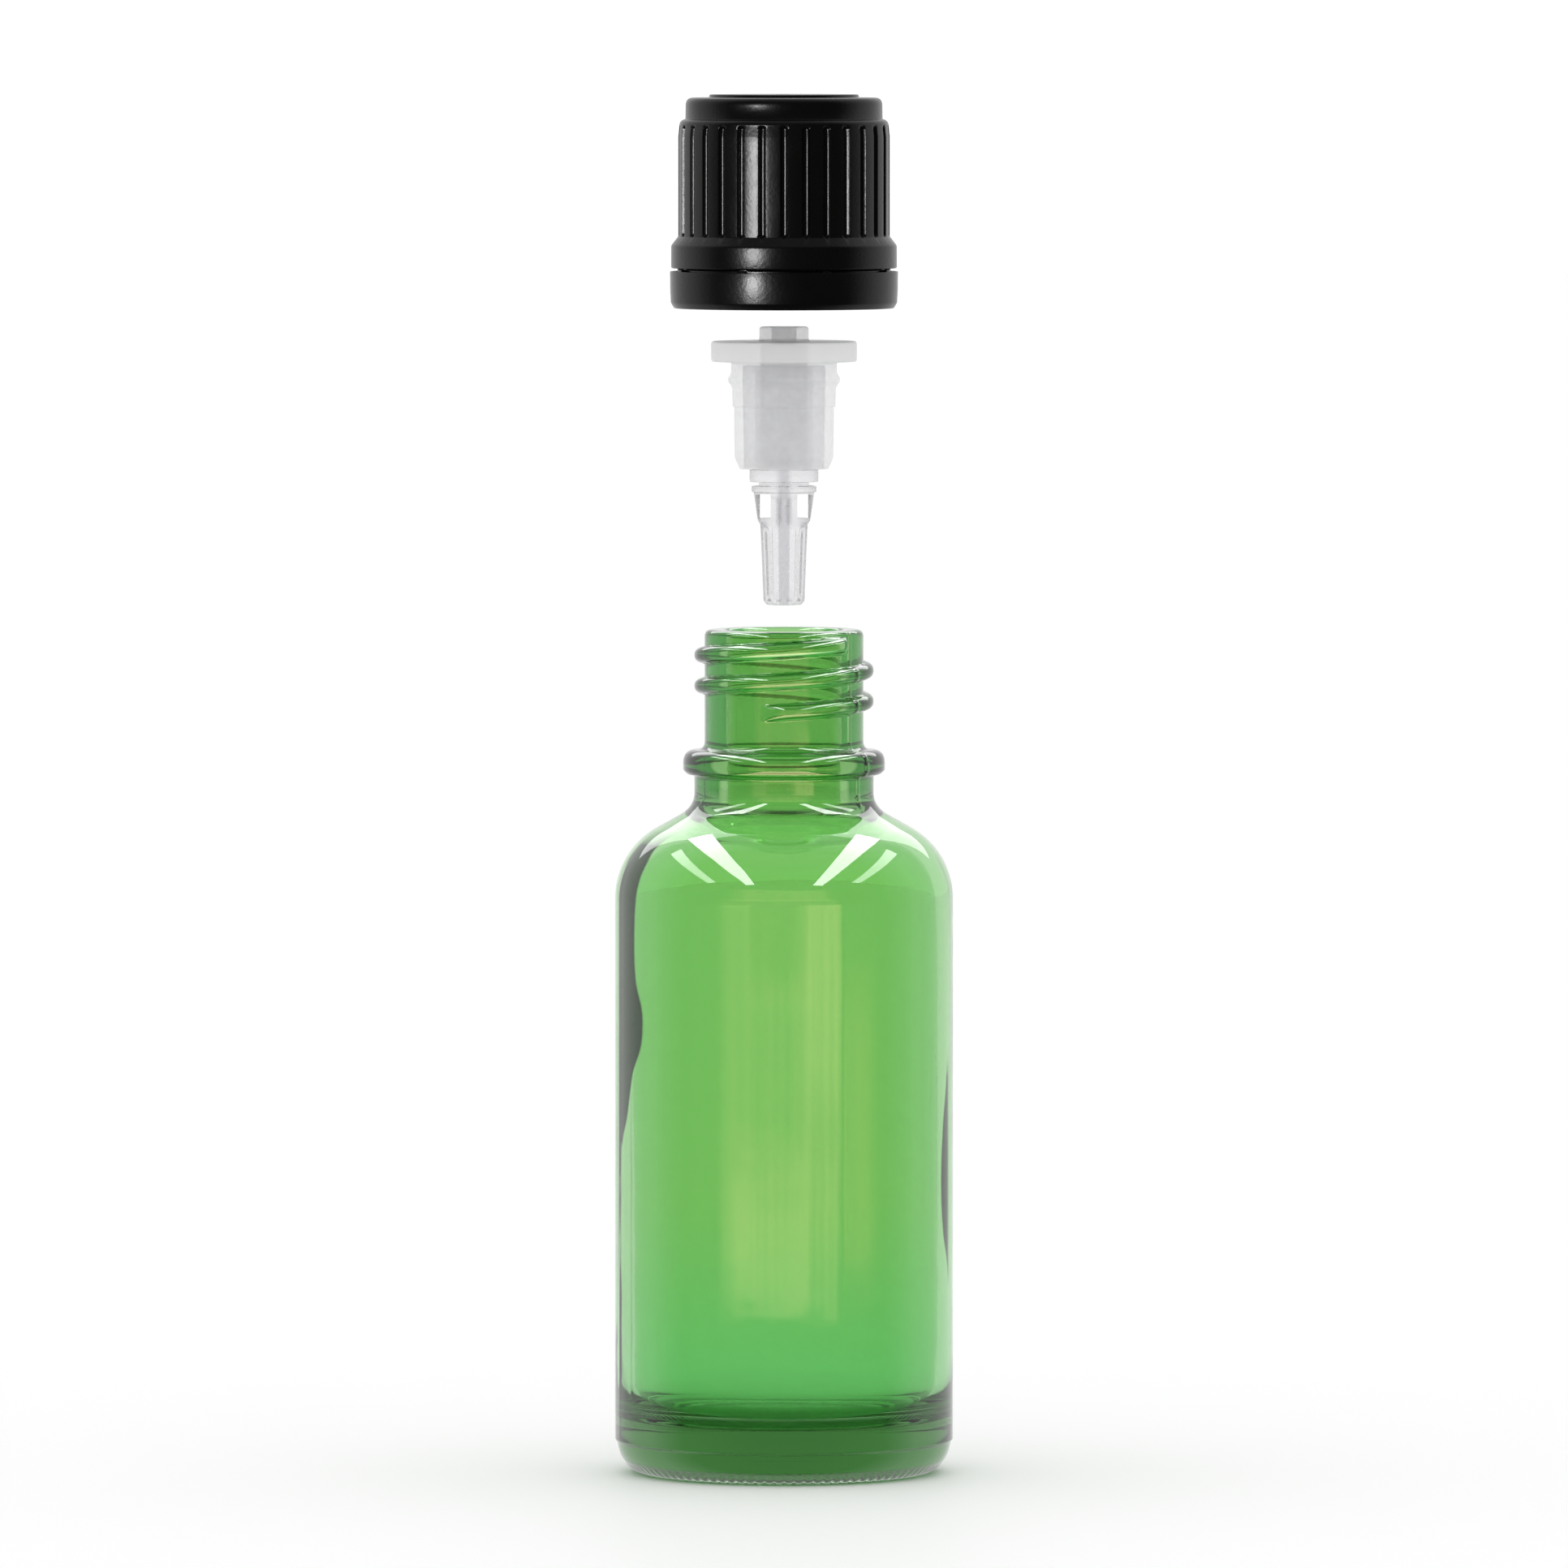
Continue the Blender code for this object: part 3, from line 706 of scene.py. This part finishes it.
def height_tint(look, slant, height, first):
    """The glass's own tint by height, deeper at the rims of body and neck for the camera's rays."""
    upper = look.fit(height, *NECK_TINT_SPAN)
    lower = look.fit(height, *FOOT_TINT_SPAN)
    face = look.mix(lower, BODY_TINT, FOOT_TINT)
    body_rim = look.math("MULTIPLY", look.fit(slant, 0.15, 0.5), first)
    neck_rim = look.math("MULTIPLY", look.fit(slant, 0.28, 0.32), first)
    body = look.mix(body_rim, face, BODY_RIM_TINT)
    neck = look.mix(neck_rim, NECK_TINT, NECK_RIM_TINT)
    return look.mix(upper, body, neck)


def glass_look():
    """Clear green glass. The tint lies at the surfaces, deeper on the neck and where the wall is
    crossed at a slant, with a little more colour by thickness, so that the thick base stays
    bright. The dark bands at the body's side edges are painted shade: a near-black tint that stands
    for the room's dark side, as uneven walls would show it there."""
    look = Look("green_glass")
    across, _, height = look.position()
    slant = look.node("LayerWeight", Blend=0.5).outputs["Facing"]
    first = look.node("LightPath").outputs["Is Camera Ray"]
    tint = height_tint(look, slant, height, first)
    left_side = look.math("MULTIPLY", across, -1.0)
    left = painted_edge_shade(look, slant, height, left_side, LEFT_PAINTED_BAND, LEFT_OUTER, LEFT_REACH)
    right = painted_edge_shade(look, slant, height, across, RIGHT_PAINTED_BAND, RIGHT_OUTER, RIGHT_REACH)
    # Painted shade: in the side bands the tint turns near-black and the shine fades.
    bands = look.math("MULTIPLY", look.math("MAXIMUM", left, right), first)
    tint = look.mix(bands, tint, PAINTED_BAND_SHADE)
    shader = look.node("BsdfPrincipled", Roughness=0.0, IOR=1.52, Transmission_Weight=1.0)
    look.link(tint, shader.inputs["Base Color"])
    look.link(look.fit(bands, 0.0, 1.0, 0.5, 0.0), shader.inputs["Specular IOR Level"])
    ripple = look.noise(90.0, 2.0)
    look.link(look.bump(ripple.outputs["Fac"], 0.12, 0.0006), shader.inputs["Normal"])
    look.link(shader.outputs["BSDF"], look.output.inputs["Surface"])
    depth = look.node("VolumeAbsorption", Density=200.0)
    depth.inputs["Color"].default_value = (*GLASS_DEPTH, 1)
    look.link(depth.outputs["Volume"], look.output.inputs["Volume"])
    return look.material


def black_look(name):
    """Satin black plastic with a fine moulded grain."""
    look = Look(name)
    shader = look.node("BsdfPrincipled", IOR=1.45, Specular_IOR_Level=0.25)
    shader.inputs["Base Color"].default_value = (*BLACK, 1)
    grain = look.noise(2600.0, 3.0, 0.6)
    patch = look.noise(420.0, 3.0)
    look.link(look.fit(patch.outputs["Fac"], 0.0, 1.0, 0.2, 0.32), shader.inputs["Roughness"])
    look.link(look.bump(grain.outputs["Fac"], 0.3, 0.00005), shader.inputs["Normal"])
    look.link(shader.outputs["BSDF"], look.output.inputs["Surface"])
    return look.material


def milk_body(look, across, along):
    """Scattered light, through the plastic and back from its face. The wall of the pocket is painted
    a little greyer, as painted shade in that recess, which sets off the sleeve in its middle."""
    squares = look.math("ADD", look.math("POWER", across, 2.0), look.math("POWER", along, 2.0))
    radius = look.math("SQRT", squares, 0.0)
    pocket_in = look.fit(radius, 0.0034, 0.0038)
    pocket_out = look.fit(radius, 0.0042, 0.0045, 1.0, 0.0)
    # Painted shade: the pocket wall gets the greyer milk.
    shade = look.mix(look.math("MULTIPLY", pocket_in, pocket_out), MILK, PAINTED_POCKET_SHADE)
    through = look.node("BsdfTranslucent")
    face = look.node("BsdfDiffuse")
    look.link(shade, through.inputs["Color"])
    look.link(shade, face.inputs["Color"])
    return look.blend(0.6, through, face)


def milky_look(flange):
    """Milky soft plastic: light passes through it and is scattered on the way, most of all in the
    solid flange, whose lower and upper heights are given in metres."""
    look = Look("milky_plastic")
    across, along, height = look.position()
    body = milk_body(look, across, along)
    clear = look.node("BsdfTransparent")
    clear.inputs["Color"].default_value = (*MILK_THROUGH, 1)
    cloud = look.noise(500.0, 3.0)
    above = look.fit(height, flange[0] - 0.0006, flange[0])
    below = look.fit(height, flange[1], flange[1] + 0.0004, 0.8, 0.0)
    solid = look.math("MULTIPLY", above, below)
    cloudy = look.fit(cloud.outputs["Fac"], 0.0, 1.0, 0.25, 0.45)
    haze = look.blend(look.math("MAXIMUM", cloudy, solid), clear, body)
    shine = look.node("BsdfGlossy", Roughness=0.3)
    edge = look.node("Fresnel", IOR=1.3)
    inside = look.node("NewGeometry").outputs["Backfacing"]
    coat = look.math("MULTIPLY", edge.outputs["Fac"], look.math("SUBTRACT", 1.0, inside))
    coated = look.blend(coat, haze, shine)
    look.link(coated.outputs[0], look.output.inputs["Surface"])
    return look.material


def clear_look():
    """Clear moulded plastic, a little frosted and grey."""
    look = Look("clear_plastic")
    shader = look.node("BsdfPrincipled", IOR=1.49, Transmission_Weight=1.0)
    shader.inputs["Base Color"].default_value = (*CLEAR, 1)
    frost = look.noise(700.0, 3.0)
    look.link(look.fit(frost.outputs["Fac"], 0.0, 1.0, 0.17, 0.38), shader.inputs["Roughness"])
    look.link(look.bump(frost.outputs["Fac"], 0.2, 0.0001), shader.inputs["Normal"])
    look.link(shader.outputs["BSDF"], look.output.inputs["Surface"])
    return look.material


def floor_look():
    """Plain pale floor."""
    look = Look("pale_floor")
    shader = look.node("BsdfPrincipled", Roughness=0.6)
    shader.inputs["Base Color"].default_value = (*FLOOR, 1)
    look.link(shader.outputs["BSDF"], look.output.inputs["Surface"])
    return look.material


# ---------------------------------------------------------------- stage


def make_floor():
    """A wide floor just below the bottle's bearing ring, left out of reflections."""
    half = 6.0
    corners = [(-half, -half, 0), (half, -half, 0), (half, half, 0), (-half, half, 0)]
    mesh = bpy.data.meshes.new("floor")
    mesh.from_pydata(corners, [], [(0, 1, 2, 3)])
    floor = bpy.data.objects.new("floor", mesh)
    floor.location.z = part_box("bottle_glass")[0].z - 0.0001
    floor.visible_glossy = False
    bpy.context.collection.objects.link(floor)
    mesh.materials.append(floor_look())


def make_light(name, spot, rotation, size, radiance):
    """A soft panel that shows only in reflections. Its power is set so that its face has one
    radiance, whatever its size."""
    data = bpy.data.lights.new(name, "AREA")
    data.shape = "RECTANGLE"
    data.size = size[0]
    data.size_y = size[1]
    data.energy = radiance * math.pi * size[0] * size[1]
    light = bpy.data.objects.new(name, data)
    light.location = spot
    light.rotation_euler = rotation
    light.visible_camera = False
    light.visible_diffuse = False
    light.visible_transmission = False
    bpy.context.collection.objects.link(light)
    return light


def feather(look, value, soft):
    """1 in the middle of a span from 0 to 1, falling to 0 over the soft share at each end."""
    start = look.fit(value, 0.0, soft[0], kind="SMOOTHSTEP")
    end = look.fit(value, 1.0 - soft[1], 1.0, 1.0, 0.0, kind="SMOOTHSTEP")
    return look.math("MULTIPLY", start, end)


def glowing(look, share, color, radiance):
    """Finishes a clear screen that gives off light where share is above 0, and whose light only
    the outer surface of the glass shows."""
    path = look.node("LightPath")
    outside = look.math("LESS_THAN", path.outputs["Transmission Depth"], 0.5)
    strength = look.math("MULTIPLY", look.math("MULTIPLY", share, outside), radiance)
    glow = look.node("Emission", Color=(*color, 1))
    look.link(strength, glow.inputs["Strength"])
    clear = look.node("BsdfTransparent")
    both = look.node("AddShader")
    look.link(clear.outputs["BSDF"], both.inputs[0])
    look.link(glow.outputs["Emission"], both.inputs[1])
    look.link(both.outputs["Shader"], look.output.inputs["Surface"])
    return look.material


def screen_look(name, color, radiance, soft):
    """A clear screen with streaky light that fades out at its edges. soft is the faded share at
    the left, right, bottom and top."""
    look = Look(name)
    where = look.node("TexCoord")
    split = look.node("SeparateXYZ")
    look.link(where.outputs["Generated"], split.inputs["Vector"])
    sides = feather(look, split.outputs["X"], soft[:2])
    ends = feather(look, split.outputs["Z"], soft[2:])
    share = look.math("MULTIPLY", sides, ends)
    upright = look.node("Mapping", Scale=(60.0, 60.0, 7.0))
    look.link(where.outputs["Object"], upright.inputs["Vector"])
    streaks = look.node("TexNoise", Scale=1.0, Detail=2.0)
    look.link(upright.outputs["Vector"], streaks.inputs["Vector"])
    share = look.math("MULTIPLY", share, look.fit(streaks.outputs["Fac"], 0.3, 0.65, 0.55, 1.0))
    return glowing(look, share, color, radiance)


def underglow_look(color, radiance):
    """A clear screen that gives light only to steep rays. In low views the undersides send those
    down and the upright body doesn't. From about 24 degrees up the body mirrors it too."""
    look = Look("underglow")
    view = look.node("LayerWeight", Blend=0.5)
    steep = look.math("LESS_THAN", view.outputs["Facing"], 0.6)
    return glowing(look, steep, color, radiance)


def curved_screen(name, azimuth, spread, distance, heights, look):
    """An upright screen round the bottle. Azimuth 0 is straight in front, and 90 is to the
    right."""
    angles = np.radians(azimuth + np.linspace(-spread / 2, spread / 2, 17))
    verts = [(distance * math.sin(a), -distance * math.cos(a), z) for z in heights for a in angles]
    count = len(angles)
    faces = [(i, i + 1, count + i + 1, count + i) for i in range(count - 1)]
    return make_screen(name, verts, faces, look)


def make_screen(name, verts, faces, look):
    """A screen that only reflections meet."""
    mesh = bpy.data.meshes.new(name)
    mesh.from_pydata(verts, [], faces)
    mesh.materials.append(look)
    screen = bpy.data.objects.new(name, mesh)
    for kind in ("camera", "diffuse", "transmission", "shadow"):
        setattr(screen, "visible_" + kind, False)
    bpy.context.collection.objects.link(screen)
    return screen


def make_world():
    """White surroundings. Reflections see a dim room behind the camera, whichever way it looks,
    and light bent far back inside the glass sees it too."""
    world = bpy.data.worlds.new("studio")
    bpy.context.scene.world = world
    world.use_nodes = True
    look = Look("studio", world.node_tree, "ShaderNodeOutputWorld")
    where = look.node("TexCoord")
    split = look.node("SeparateXYZ")
    look.link(where.outputs["Camera"], split.inputs["Vector"])
    ahead = look.fit(split.outputs["Z"], -0.3, 0.2, 0.03, 1.0)
    above = look.fit(split.outputs["Y"], 0.5, 0.9, 0.0, 0.35)
    room = look.math("MAXIMUM", ahead, above)
    bent = look.fit(split.outputs["Z"], -0.75, -0.1, 0.4, WHITE)
    path = look.node("LightPath")
    transmitted, glossy = path.outputs["Is Transmission Ray"], path.outputs["Is Glossy Ray"]
    through = look.math("MULTIPLY", transmitted, bent)
    reflected = look.math("MULTIPLY", look.math("SUBTRACT", 1.0, transmitted), room)
    sharp = look.math("MULTIPLY", glossy, look.math("ADD", through, reflected))
    other = look.math("MULTIPLY", look.math("SUBTRACT", 1.0, glossy), WHITE)
    back = look.node("Background", Color=(1, 1, 1, 1))
    look.link(look.math("ADD", sharp, other), back.inputs["Strength"])
    look.link(back.outputs["Background"], look.output.inputs["Surface"])


def light_only(light, pieces):
    """Makes a light fall on some of the pieces alone."""
    receivers = bpy.data.collections.new(light.name + "_lit")
    for piece in pieces:
        receivers.objects.link(piece)
    light.light_linking.receiver_collection = receivers


def make_strip(name, side, spot, turn_deg, size, radiance, bottle):
    """One overhead strip on the left (side -1) or right (side 1), turned in towards the back."""
    x, y, z = spot
    turn = (0, 0, side * math.radians(turn_deg))
    strip = make_light(f"{name}_{side}", (side * x, y, z), turn, size, radiance)
    light_only(strip, [bottle])


def make_lights(bottle, closure):
    """Pairs of strips overhead for the glass, which close in towards the back, a tall panel high
    behind it that pales its shoulder, and a small key light for the black closure."""
    for side in (-1, 1):
        make_strip("inner_strip", side, (0.381, -0.275, 0.66), 7, (0.14, 1.5), 14, bottle)
        make_strip("outer_strip", side, (0.757, -0.166, 0.66), 20, (0.15, 1.1), 7, bottle)
    upright = (math.radians(-90), 0, 0)
    wall = make_light("wall_light", (0, 1.2, 1.4), upright, (1.8, 1.7), 2.4)
    light_only(wall, [bottle])
    spot = Vector((-0.36, -0.6, 0.118))
    key = make_light("key", spot, spot.to_track_quat("Z", "Y").to_euler(), (0.13, 0.16), 75)
    light_only(key, closure)


def make_glows(bottle):
    """Warm glows low in front of the glass: (from azimuth, to azimuth, low, high, colour,
    radiance, soft shares). Each stands a little behind the one before."""
    warm, amber = (1.0, 0.74, 0.36), (1.0, 0.6, 0.2)
    glows = (
        (-46, -20, -0.002, 0.066, warm, 1.7, (0.3, 0.2, 0.15, 0.2)),
        (-26, 20, -0.002, 0.040, warm, 1.5, (0.15, 0.15, 0.15, 0.15)),
        (-26, 20, 0.030, 0.056, amber, 0.9, (0.15, 0.1, 0.3, 0.3)),
        (6, 39, 0.002, 0.066, warm, 3.6, (0.5, 0.06, 0.5, 0.2)),
        (-46, 39, -0.002, 0.021, warm, 2.0, (0.2, 0.06, 0.1, 0.5)),
        (39, 69, -0.002, 0.045, amber, 1.4, (0.06, 0.4, 0.2, 0.4)),
        (-46, 40, 0.052, 0.090, warm, 1.1, (0.1, 0.1, 0.1, 0.1)),
        (-40, 36, 0.080, 0.150, warm, 1.6, (0.15, 0.15, 0.1, 0.15)),
    )
    for number, (start, end, low, high, color, radiance, soft) in enumerate(glows):
        name = f"glow_{number}"
        look = screen_look(name, color, radiance, soft)
        azimuth, spread = (start + end) / 2, end - start
        screen = curved_screen(name, azimuth, spread, 0.2 + 0.004 * number, (low, high), look)
        light_only(screen, [bottle])


def make_underglow(bottle):
    """A warm glow just above the floor, for the undersides of thread and bead."""
    corners = [(x, y, 0.002) for x in (-0.07, 0.07) for y in (-0.16, -0.03)]
    look = underglow_look((1.0, 0.76, 0.45), 7.5)
    screen = make_screen("underglow", corners, [(0, 2, 3, 1)], look)
    light_only(screen, [bottle])


def make_camera():
    """A long lens in front of the bottle, a little above the top of the closure, that the object
    fills to 88 % of the picture's height."""
    low, high = cad_box
    middle = (low + high) / 2
    distance = 1.5
    sensor = 36.0
    seen_height = (high.z - low.z) / 0.88
    data = bpy.data.cameras.new("camera")
    camera = bpy.data.objects.new("camera", data)
    camera.location = (middle.x, middle.y - distance, high.z + 0.012)
    camera.rotation_mode = "QUATERNION"
    camera.rotation_quaternion = (camera.location - middle).to_track_quat("Z", "Y")
    data.sensor_width = sensor
    data.lens = sensor * distance / seen_height
    data.clip_start = 0.05
    data.clip_end = 50.0
    bpy.context.collection.objects.link(camera)
    bpy.context.scene.camera = camera


# ---------------------------------------------------------------- pieces


def lift_of(node, closed_top):
    """How far a node stands above its place on the closed bottle, in millimetres."""
    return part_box(node)[1].z / MM - closed_top


def place(piece, node, body, look):
    """Gives a piece its look and lets it stand for a CAD node on that node's body."""
    piece.data.materials.clear()
    piece.data.materials.append(look)
    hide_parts(node)
    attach(piece, body)


def make_pieces():
    """The five fine pieces, of which the bottle and the two black ones are returned."""
    insert_lift = lift_of("dropper_plug", SPOUT_TOP)
    closure_lift = lift_of("cap_shell", DISC_TOP)
    bottle_profile = joined(body_outside(), neck_outside(), bottle_inside())
    bottle = turned("bottle", bottle_profile, BOTTLE_SEGMENTS, 0.0, bottle_relief, 180.0)
    place(bottle, "bottle_glass", "bottle", glass_look())
    plug = turned("plug", plug_profile(), PLUG_SEGMENTS, insert_lift)
    flange = ((FLANGE_Z + insert_lift) * MM, (FLANGE_TOP + insert_lift) * MM)
    place(plug, "dropper_plug", "insert", milky_look(flange))
    tube = turned("tube", tube_profile(), TUBE_SEGMENTS, insert_lift, tube_relief)
    cut_windows(tube, insert_lift)
    place(tube, "drip_tube", "tube", clear_look())
    ring = turned("ring", ring_profile(), RING_SEGMENTS, closure_lift, ring_relief)
    place(ring, "tamper_ring", "ring", black_look("black_ring"))
    cap_profile = joined(cap_inside(), cap_outside())
    cap = turned("cap", cap_profile, CAP_SEGMENTS, closure_lift, cap_relief, 55.0)
    place(cap, "cap_shell", "cap", black_look("black_cap"))
    return bottle, (ring, cap)


def set_view():
    """Plain colours, and enough bounces for light to cross both walls of the glass."""
    scene = bpy.context.scene
    scene.view_settings.view_transform = "Standard"
    scene.cycles.max_bounces = 24
    scene.cycles.transmission_bounces = 24
    scene.cycles.transparent_max_bounces = 24
    scene.cycles.glossy_bounces = 8
    scene.cycles.diffuse_bounces = 8


bottle, closure = make_pieces()
make_floor()
make_world()
make_lights(bottle, closure)
make_glows(bottle)
make_underglow(bottle)
make_camera()
set_view()
